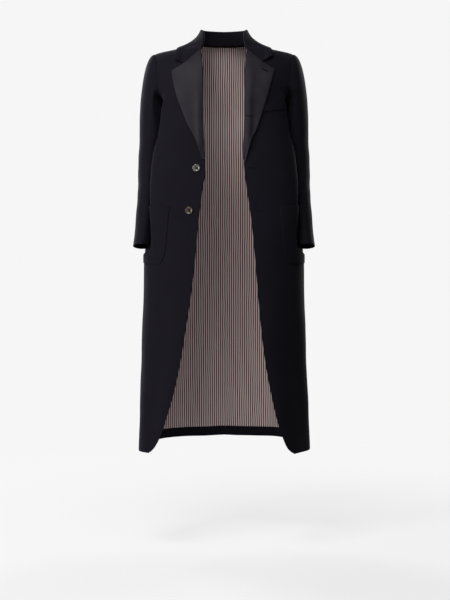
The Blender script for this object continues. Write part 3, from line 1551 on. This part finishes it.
@dataclass
class Pockets:
    """The two patch pockets, each with its lower front corner cut off, and the breast welt."""

    looks: Cupboard
    bodice: Bodice
    cut: Cut = (0.18, 0.185, 0.0315)
    welt_cut: Cut = (0.102, 0.024, 0.0023)
    # The patch's outline: a height, with the shares of its back and front edges there.
    outline: Rows = ((-0.698, 0.07, 0.586), (-0.671, 0.07, 0.637), (-0.519, 0.07, 0.672))
    welt_ends: Rows = ((0.086, -0.2105), (0.1815, -0.1985))
    welt_depth: float = 0.022
    welt_gap: float = 0.0012

    def patch(self, side: Side) -> Object:
        """Makes a patch pocket from the front's own surface.

        Args:
            side: The side.

        Returns:
            The piece.
        """
        heights, back, front = zip(*self.outline)
        levels = spaced((heights[0], heights[1], 14), (heights[1], heights[2], 44))
        first, last = np.interp(levels, heights, back), np.interp(levels, heights, front)
        count = 48
        shares = first[:, None] + (last - first)[:, None] * crowded(count, 0.4)
        points, normals = self.bodice.panels[side][Part.FRONT].read(shares, np.repeat(levels[:, None], count, 1))
        across, up = grid_lengths(points)
        edge = np.minimum(np.minimum(across, across[:, -1:] - across), up)
        # The patch is felled down at its edges, swells a little inside them, and stands off at its mouth.
        swell = 0.0006 * ease(0.0, 0.012, edge) + 0.0016 * ease(-0.05, 0.0, up - up[-1:]) * ease(0.0, 0.03, edge)
        hem = 0.0003 * bell(up[-1:] - up - 0.026, 0.0016)
        under = points + normals * (LAYER_GAP + swell)[..., None]
        face = points + normals * (LAYER_GAP + POCKET_CLOTH + swell - hem)[..., None]
        name = f"pocket_{side.label}"
        shell = Shell(f"{name}_cloth", flip(face, side), flip(under, side), [self.looks.wool], map_from=count // 2)
        return place_cloth(shell, name)

    def welt(self) -> Object:
        """Makes the breast welt on the wearer's left front.

        Returns:
            The piece.
        """
        skin = self.bodice.skins[Side.LEFT]
        inner, outer = (np.array(end) for end in self.welt_ends)
        rows = []
        for step in np.linspace(0.0, 1.0, 12):
            off = self.welt_gap + 0.0005 * ease(0.0, 0.5, step)
            row = []
            for share in np.linspace(0.0, 1.0, 48):
                x, z = inner * (1.0 - share) + outer * share
                foot, out = skin.foot(x, z - self.welt_depth * (1.0 - step))
                row.append([foot + out * (off + WELT_CLOTH), foot + out * off])
            rows.append(row)
        face, under = np.moveaxis(np.array(rows), 2, 0)
        shell = Shell("breast_welt_cloth", face, under, [self.looks.wool], map_from=24)
        return place_cloth(shell, "breast_welt")

    def build(self) -> list[Object]:
        """Makes both patches and the welt."""
        return [*(self.patch(side) for side in Side), self.welt()]


@dataclass(frozen=True)
class ButtonPlan:
    """One button's name, its size, the middle of its back and the way that its face looks."""

    name: str
    radius: float
    thick: float
    place: Array
    normal: Array

    @property
    def across(self) -> Array:
        """The way across its face."""
        return unit(np.cross(np.array([0.0, 0.0, 1.0]), self.normal))

    @property
    def up(self) -> Array:
        """The way up its face."""
        return np.cross(self.normal, self.across)


@dataclass
class Buttons:
    """Turned horn buttons with four sewing holes, sewn on with a crossed thread."""

    looks: Cupboard
    bodice: Bodice
    sleeves: Sleeves
    # Radius and thickness.
    front_size: tuple[float, float] = (0.0115, 0.0034)
    cuff_size: tuple[float, float] = (0.0068, 0.0028)
    # Half the section, as shares of both, from the middle of the dished face round to the middle of the back.
    section: Rows = ((0.0, 0.6), (0.3, 0.6), (0.55, 0.62), (0.64, 0.66), (0.7, 0.78), (0.76, 0.92),
        (0.83, 1.0), (0.9, 0.98), (0.96, 0.88), (0.995, 0.7), (1.0, 0.52), (0.97, 0.34), (0.9, 0.16),
        (0.78, 0.04), (0.6, 0.0), (0.0, 0.0))
    # As shares of the radius.
    hole_out: float = 0.25
    hole_radius: float = 0.14
    thread_radius: float = 0.075

    def turned(self, plan: ButtonPlan, look: Material) -> Object:
        """Turns a button and drills its four holes.

        Args:
            plan: The button's size and place.
            look: Its material.

        Returns:
            The button.
        """
        count = 48
        rays = spokes(count, plan.across, plan.up)
        section = [(plan.radius * r, plan.thick * h) for r, h in self.section]
        points = [plan.place + plan.normal * section[0][1]]
        for r, h in section[1:-1]:
            points += list(plan.place + plan.normal * h + rays * r)
        points.append(plan.place + plan.normal * section[-1][1])
        last = len(points) - 1
        faces = [face for face in wall(1, len(section) - 2, count) if len(face) == 4]
        for k in range(count):
            j = (k + 1) % count
            faces += [(0, 1 + j, 1 + k), (last, last - count + k, last - count + j)]
        button = mesh_object(f"{plan.name}_turned", np.array(points), faces, look)
        drill = self.drill(plan, look)
        cut = button.modifiers.new("holes", "BOOLEAN")
        cut.object, cut.operation, cut.solver = drill, "DIFFERENCE", "EXACT"
        apply_modifiers(button)
        button.data.set_sharp_from_angle(angle=math.radians(35.0))
        bpy.data.objects.remove(drill, do_unlink=True)
        return button

    def drill(self, plan: ButtonPlan, look: Material) -> Object:
        """Makes the four pins that drill the sewing holes.

        Args:
            plan: The button's size and place.
            look: Its material.

        Returns:
            The pins, as one object.
        """
        rays = spokes(16, plan.across, plan.up) * plan.radius * self.hole_radius
        points: list[Array] = []
        faces: Faces = []
        for right, high in ((-1, -1), (1, -1), (1, 1), (-1, 1)):
            middle = plan.place + (plan.across * right + plan.up * high) * plan.radius * self.hole_out
            faces += wall(len(points), 2, 16)
            points += list(middle - plan.normal * plan.thick + rays)
            points += list(middle + plan.normal * plan.thick * 2.0 + rays)
        return mesh_object("button_drill", np.array(points), faces, look)

    def thread(self, plan: ButtonPlan) -> Object:
        """Makes the crossed sewing thread in the holes, down to the cloth.

        Args:
            plan: The button's size and place.

        Returns:
            The thread.
        """
        reach, top = plan.radius * self.hole_out, plan.thick * 0.6
        lines = []
        for sign, lift in ((1.0, 0.0), (-1.0, 0.00045)):
            way = plan.across * sign + plan.up
            path = []
            for t in np.linspace(-1.0, 1.0, 17):
                side = math.copysign(min(abs(t) * 1.35, 1.0), t)
                fall = max(0.0, abs(t) - 0.74) / 0.26
                height = top + 0.00035 + lift * (1.0 - abs(t)) - fall * (top + BUTTON_SHANK)
                path.append(plan.place + way * reach * side + plan.normal * height)
            lines.append(np.array(path))
        return tubes(f"{plan.name}_thread", lines, plan.radius * self.thread_radius, self.looks.dark_thread)

    def sewn(self, plan: ButtonPlan, horn: Material) -> list[Object]:
        """Makes one button and its thread."""
        turned = place_piece(self.turned(plan, horn), [plan.name])
        return [turned, place_piece(self.thread(plan))]

    def build(self) -> list[Object]:
        """Makes the front and cuff buttons, and their threads.

        Returns:
            The pieces.
        """
        made = []
        horns = (self.looks.pale_horn, self.looks.brown_horn)
        for number, ((x, z), horn) in enumerate(zip(FRONT_BUTTONS, horns), start=1):
            foot, out = self.bodice.skins[Side.RIGHT].foot(x, z)
            place, normal = flip(foot + out * BUTTON_SHANK, Side.RIGHT), unit(flip(out, Side.RIGHT))
            plan = ButtonPlan(f"front_button_{number}", *self.front_size, place, normal)
            made += self.sewn(plan, horn)
        for side in Side:
            for number, (place, normal) in enumerate(self.sleeves.button_places(side), start=1):
                plan = ButtonPlan(f"cuff_button_{side.label}_{number}", *self.cuff_size, place, unit(normal))
                made += self.sewn(plan, self.looks.dark_horn)
        return made


def spokes(count: int, across: Array, up: Array) -> Array:
    """Gives evenly turned vectors all round, in the plane of two directions."""
    around = np.linspace(0.0, 2.0 * math.pi, count, endpoint=False)[:, None]
    return np.cos(around) * across + np.sin(around) * up


def wall(first: int, rings: int, count: int) -> Faces:
    """Joins rings of points, one after the other, into a wall with closed ends.

    Args:
        first: The number of the first point.
        rings: How many rings there are.
        count: How many points a ring has.

    Returns:
        The faces.
    """
    last = first + (rings - 1) * count
    faces: Faces = [tuple(range(first + count - 1, first - 1, -1)), tuple(range(last, last + count))]
    for low in range(first, last, count):
        for k in range(count):
            j = (k + 1) % count
            faces.append((low + k, low + j, low + count + j, low + count + k))
    return faces


def mesh_object(name: str, points: Array, faces: Faces, look: Material) -> Object:
    """Makes a closed mesh whose faces point out.

    Args:
        name: The object's name.
        points: Its points.
        faces: Its faces.
        look: Its material.

    Returns:
        The object, at the origin.
    """
    volume = 0.0
    for face in faces:
        for k in range(1, len(face) - 1):
            volume += float(points[face[0]] @ np.cross(points[face[k]], points[face[k + 1]]))
    mesh = bpy.data.meshes.new(name)
    mesh.from_pydata(points.tolist(), [], faces if volume > 0.0 else [face[::-1] for face in faces])
    mesh.materials.append(look)
    mesh.shade_smooth()
    return new_object(name, mesh)


def tubes(name: str, lines: Sequence[Array], radius: float, look: Material) -> Object:
    """Makes round tubes along lines, closed at both ends.

    Args:
        name: The object's name.
        lines: The middle line of each tube.
        radius: The tubes' radius.
        look: Their material.

    Returns:
        The tubes, as one object.
    """
    points: list[Array] = []
    faces: Faces = []
    for line in lines:
        faces += wall(len(points), len(line), 8)
        tangents = unit(np.gradient(line, axis=0))
        side = unit(np.cross(tangents[0], np.array([0.31, 0.52, 0.79])))
        for at, tangent in zip(line, tangents):
            side = unit(side - tangent * float(side @ tangent))
            points += list(at + spokes(8, side, np.cross(tangent, side)) * radius)
    return mesh_object(name, np.array(points), faces, look)


class StitchTree:
    """A node tree that lays small thread stitches along a line, on the cloth's own normal."""

    def __init__(self) -> None:
        """Builds the tree with its named inputs."""
        self.tree = bpy.data.node_groups.new("thread_stitches", "GeometryNodeTree")
        face = self.tree.interface
        for way in ("INPUT", "OUTPUT"):
            face.new_socket("Geometry", in_out=way, socket_type="NodeSocketGeometry")
        kinds = dict.fromkeys(("Pitch", "Stitch Length", "Thread Width", "Turn"), "NodeSocketFloat")
        kinds["Thread"] = "NodeSocketMaterial"
        self.sockets = {name: face.new_socket(name, in_out="INPUT", socket_type=kind).identifier
            for name, kind in kinds.items()}
        self.fill()

    def fill(self) -> None:
        """Adds the nodes: resample the line, put a stitch on each point, turn it, make it real, dress it."""
        tree = self.tree
        given = add_node(tree, "NodeGroupInput").outputs
        line = add_node(tree, "GeometryNodeMeshToCurve", Mesh=given["Geometry"])
        line = add_node(tree, "GeometryNodeResampleCurve", {"mode": "LENGTH"}, Curve=line, Length=given["Pitch"])
        stitch = add_node(tree, "GeometryNodeMeshUVSphere", Segments=6, Rings=5, Radius=0.5)
        size = add_node(tree, "CombineXYZ", X=given["Stitch Length"], Y=given["Thread Width"],
            Z=given["Thread Width"])
        lie = add_node(tree, "GeometryNodeInputNamedAttribute", {"data_type": "FLOAT_VECTOR"}, Name="lie")
        flat = add_node(tree, "FunctionNodeAlignRotationToVector", {"axis": "Z"}, Vector=lie.outputs["Attribute"])
        tangent = add_node(tree, "GeometryNodeInputTangent")
        along = add_node(tree, "FunctionNodeAlignRotationToVector", {"axis": "X", "pivot_axis": "Z"},
            Rotation=flat, Vector=tangent)
        turn = add_node(tree, "FunctionNodeAxisAngleToRotation", Axis=(0.0, 0.0, 1.0), Angle=given["Turn"])
        placed = add_node(tree, "FunctionNodeRotateRotation", {"rotation_space": "LOCAL"}, Rotation=along,
            Rotate_By=turn)
        copies = add_node(tree, "GeometryNodeInstanceOnPoints", Points=line, Instance=stitch,
            Rotation=placed, Scale=size)
        real = add_node(tree, "GeometryNodeRealizeInstances", Geometry=copies)
        dressed = add_node(tree, "GeometryNodeSetMaterial", Geometry=real, Material=given["Thread"])
        add_node(tree, "NodeGroupOutput", i0=dressed)

    def sew(self, name: str, line: Array, lie: Array, values: dict[str, object]) -> Object:
        """Sews along a line, and gives the stitches as a plain mesh.

        Args:
            name: The object's name.
            line: The line's points.
            lie: The cloth's normal at each.
            values: The tree's inputs by name.

        Returns:
            The stitches.
        """
        mesh = bpy.data.meshes.new(name)
        mesh.from_pydata(line.tolist(), [(i, i + 1) for i in range(len(line) - 1)], [])
        normals = mesh.attributes.new("lie", "FLOAT_VECTOR", "POINT")
        normals.data.foreach_set("vector", lie.astype(np.float32).ravel())
        obj = new_object(name, mesh)
        modifier = obj.modifiers.new("stitches", "NODES")
        modifier.node_group = self.tree
        for key, value in values.items():
            modifier[self.sockets[key]] = value
        return apply_modifiers(obj)


@dataclass
class Needlework:
    """Buttonholes on the wearer's left front and lapel, and the felling of the lining's hem."""

    looks: Cupboard
    lapel: Object
    # The lowest two rows of the lining's face.
    lining_hem: Array
    # Each buttonhole: its two ends as x and z, and whether it is cut in the lapel.
    holes: tuple[tuple[Sequence[float], Sequence[float], bool], ...] = (((0.1175, -0.0965), (0.1365, -0.104), True),
        ((0.0655, -0.242), (0.089, -0.2435), True), ((0.074, -0.402), (0.098, -0.403), False),
        ((0.093, -0.533), (0.117, -0.534), False))
    tree: StitchTree = field(default_factory=StitchTree)

    def buttonhole(self, number: int) -> list[Object]:
        """Works one buttonhole: its dark slit and the close stitches round it.

        Args:
            number: Which of the buttonholes.

        Returns:
            The pieces.
        """
        start, end, on_lapel = self.holes[number]
        mesh = (self.lapel if on_lapel else bpy.data.objects["front_left_cloth"]).data
        tree = BVHTree.FromPolygons([v.co for v in mesh.vertices], [p.vertices for p in mesh.polygons])
        a, b = np.array(start), np.array(end)
        way = unit(b - a)
        side = np.array([-way[1], way[0]])
        half, length = 0.00085, float(np.linalg.norm(b - a))
        flat = []
        for at, ahead, aside in ((a, way, side), (b, -way, -side)):
            flat += [at + ahead * t + aside * half for t in np.linspace(0.0, length, 14)]
            for t in np.linspace(-math.pi / 3, math.pi / 3, 5):
                flat.append(at + ahead * (length + half * math.cos(t)) - aside * half * math.sin(t))
        flat.append(flat[0])
        line, lie = self.on_cloth(tree, flat)
        values = {"Pitch": 0.0007, "Stitch Length": 0.0021, "Thread Width": 0.00075, "Turn": math.pi / 2,
            "Thread": self.looks.black_thread}
        worked = self.tree.sew(f"buttonhole_{number + 1}_stitches", line, lie, values)
        middle, _ = self.on_cloth(tree, [a + (b - a) * t for t in np.linspace(0.02, 0.98, 12)])
        slit = tubes(f"buttonhole_{number + 1}_gimp", [middle], 0.0004, self.looks.black_thread)
        return [place_piece(worked), place_piece(slit)]

    @staticmethod
    def on_cloth(tree: BVHTree, flat: Sequence[Array]) -> tuple[Array, Array]:
        """Puts places on the cloth, as seen from straight ahead.

        Args:
            tree: The cloth's search tree.
            flat: The places, as x and z.

        Returns:
            The points and the cloth's normals there.
        """
        points, normals = [], []
        for x, z in flat:
            hit, normal, _, _ = tree.ray_cast((x, -1.0, z), (0.0, 1.0, 0.0))
            points.append(np.array(hit))
            normals.append(np.array(normal if normal[1] < 0 else -normal))
        return np.array(points), unit(np.array(normals))

    def felling(self) -> Object:
        """Sews the lining's hem down with small slanted stitches.

        Returns:
            The stitches.
        """
        line, above = self.lining_hem[:, 2:-2]
        lie = unit(np.cross(np.gradient(line, axis=0), above - line))
        inside = line * np.array([-1.0, -1.0, 0.0])
        lie = np.where((lie * inside).sum(axis=1, keepdims=True) > 0.0, lie, -lie)
        values = {"Pitch": 0.005, "Stitch Length": 0.0026, "Thread Width": 0.0006, "Turn": math.radians(62.0),
            "Thread": self.looks.black_thread}
        return place_piece(self.tree.sew("lining_hem_stitches", line, lie, values))

    def build(self) -> list[Object]:
        """Works every buttonhole and sews the lining's hem."""
        worked = [piece for number in range(len(self.holes)) for piece in self.buttonhole(number)]
        return [*worked, self.felling()]


@dataclass(frozen=True)
class Lamp:
    """A square or oblong soft lamp: where it hangs, how large it is, its power and its colour."""

    name: str
    place: tuple[float, float, float]
    size: tuple[float, float]
    power: float
    colour: str
    aim: tuple[float, float, float] = (0.0, 0.0, -0.7)

    def hang(self) -> None:
        """Adds the lamp to the scene, turned towards its aim."""
        data = bpy.data.lights.new(f"{self.name}_lamp", "AREA")
        data.shape, data.energy, data.color = "RECTANGLE", self.power, linear(self.colour)[:3]
        data.size, data.size_y = self.size
        aim_at(new_object(data.name, data), self.place, self.aim)


def aim_at(obj: Object, place: Sequence[float], aim: Sequence[float]) -> None:
    """Puts a lamp or camera at a place and turns it towards another."""
    obj.location = place
    obj.rotation_euler = (Vector(aim) - Vector(place)).to_track_quat("-Z", "Y").to_euler()


@dataclass
class Studio:
    """The plain pale floor, the even background, the soft lights and the camera."""

    floor_z: float = -1.6
    floor_radius: float = 14.0
    background: str = "f6f6f6"
    floor: str = "f1f1f2"
    lamps: tuple[Lamp, ...] = (Lamp("key", (-0.86, -2.36, 2.29), (1.4, 1.4), 74.0, "fffdfb"),
        Lamp("side", (-3.78, -2.36, -0.07), (1.4, 1.4), 118.0, "fdfcff"), Lamp("front", (0.65, -3.71, 1.94),
        (1.6, 1.6), 29.0, "f6f6ff"), Lamp("back_left", (-2.6, 4.2, 1.6), (2.0, 2.4), 170.0, "ffffff",
        (0.0, 0.0, -0.6)), Lamp("back_right", (2.8, 4.0, 1.2), (2.0, 2.4), 140.0, "ffffff", (0.0, 0.0, -0.6)))

    def surround(self) -> None:
        """Gives the camera an even pale background, and the blazer a dim even light from all round."""
        world = bpy.data.worlds.new("pale_studio")
        bpy.context.scene.world = world
        world.use_nodes = True
        tree = world.node_tree
        tree.nodes.clear()
        path = add_node(tree, "LightPath").outputs["Is Camera Ray"]
        dim = add_node(tree, "Background", Color=(1.0, 1.0, 1.0, 1.0), Strength=0.02)
        seen = add_node(tree, "Background", Color=linear(self.background), Strength=1.0)
        mixed = add_node(tree, "MixShader", i0=path, i1=dim, i2=seen)
        add_node(tree, "OutputWorld", i0=mixed)

    def floor_material(self) -> Material:
        """Builds the matt pale floor, which fades into the background away from the blazer.

        Returns:
            The material.
        """
        made, tree, shader = new_material("matt_pale_floor")
        feed(shader, Base_Color=linear(self.floor), Roughness=0.9, Specular_IOR_Level=0.1)
        place = add_node(tree, "TexCoord").outputs["Object"]
        flat = add_node(tree, "VectorMath", {"operation": "MULTIPLY"}, i0=place, i1=(1.0, 1.0, 0.0))
        away = add_node(tree, "VectorMath", {"operation": "LENGTH"}, i0=flat).outputs["Value"]
        fade = add_node(tree, "MapRange", {"interpolation_type": "SMOOTHSTEP"}, Value=away,
            From_Min=0.6, From_Max=2.8, To_Min=0.62)
        glow = add_node(tree, "Emission", Color=linear(self.background), Strength=1.0)
        mixed = add_node(tree, "MixShader", i0=fade, i1=shader, i2=glow)
        # Seen from below, the floor isn't there, and it throws little of its light back up.
        below = add_node(tree, "NewGeometry").outputs["Backfacing"]
        clear = add_node(tree, "BsdfTransparent")
        shown = add_node(tree, "MixShader", i0=below, i1=mixed, i2=clear)
        dull = add_node(tree, "BsdfDiffuse", Color=(0.3, 0.3, 0.3, 1.0))
        seen = add_node(tree, "LightPath").outputs["Is Camera Ray"]
        final = add_node(tree, "MixShader", i0=seen, i1=dull, i2=shown)
        feed(tree.nodes["Material Output"], Surface=final)
        return made

    def lay_floor(self) -> None:
        """Lays the wide round floor."""
        count = 96
        ring = spokes(count, np.array([self.floor_radius, 0.0, 0.0]), np.array([0.0, self.floor_radius, 0.0]))
        ring[:, 2] = self.floor_z
        faces = [(0, 1 + k, 1 + (k + 1) % count) for k in range(count)]
        mesh = bpy.data.meshes.new("studio_floor")
        mesh.from_pydata([(0.0, 0.0, self.floor_z), *ring.tolist()], [], faces)
        mesh.materials.append(self.floor_material())
        new_object("studio_floor", mesh)

    def point_camera(self) -> None:
        """Points the camera as the photograph was taken: level with the waist, from 6 m."""
        data = bpy.data.cameras.new("camera")
        # The long side of the 450 by 600 picture takes the sensor's width.
        data.sensor_width, data.lens = 24.0, 75.84
        camera = new_object("camera", data)
        aim_at(camera, (0.0, -6.0, -0.53), (0.00316, 0.0, -0.8163))
        bpy.context.scene.camera = camera
        bpy.context.scene.view_settings.view_transform = "Standard"

    def build(self) -> None:
        """Sets the whole studio up."""
        self.point_camera()
        for lamp in self.lamps:
            lamp.hang()
        self.surround()
        self.lay_floor()


def report(title: str, pieces: Sequence[Object]) -> None:
    """Reports each piece of a sub-assembly."""
    for piece in pieces:
        LOG.info("%s: %s, %d faces", title, piece.name, len(piece.data.polygons))


def main() -> None:
    """Builds the blazer's sub-assemblies in order, then the studio, and keeps both sizes."""
    logging.basicConfig(level=logging.INFO, format="%(message)s")
    looks = Cupboard()
    bodice = Bodice(looks)
    bodice.shape()
    report("bodice", bodice.build())
    lapels = Lapels(looks, bodice).build()
    report("lapels", lapels)
    report("collar", Collar(looks, bodice).build())
    sleeves = Sleeves(looks, bodice)
    report("sleeves", sleeves.build())
    lining = BackLining(looks, bodice)
    report("lining", lining.build())
    report("pockets", Pockets(looks, bodice).build())
    report("buttons", Buttons(looks, bodice, sleeves).build())
    report("needlework", Needlework(looks, lapels[1], lining.hem).build())
    Studio().build()
    bpy.context.view_layer.update()


if __name__ == "__main__":
    main()
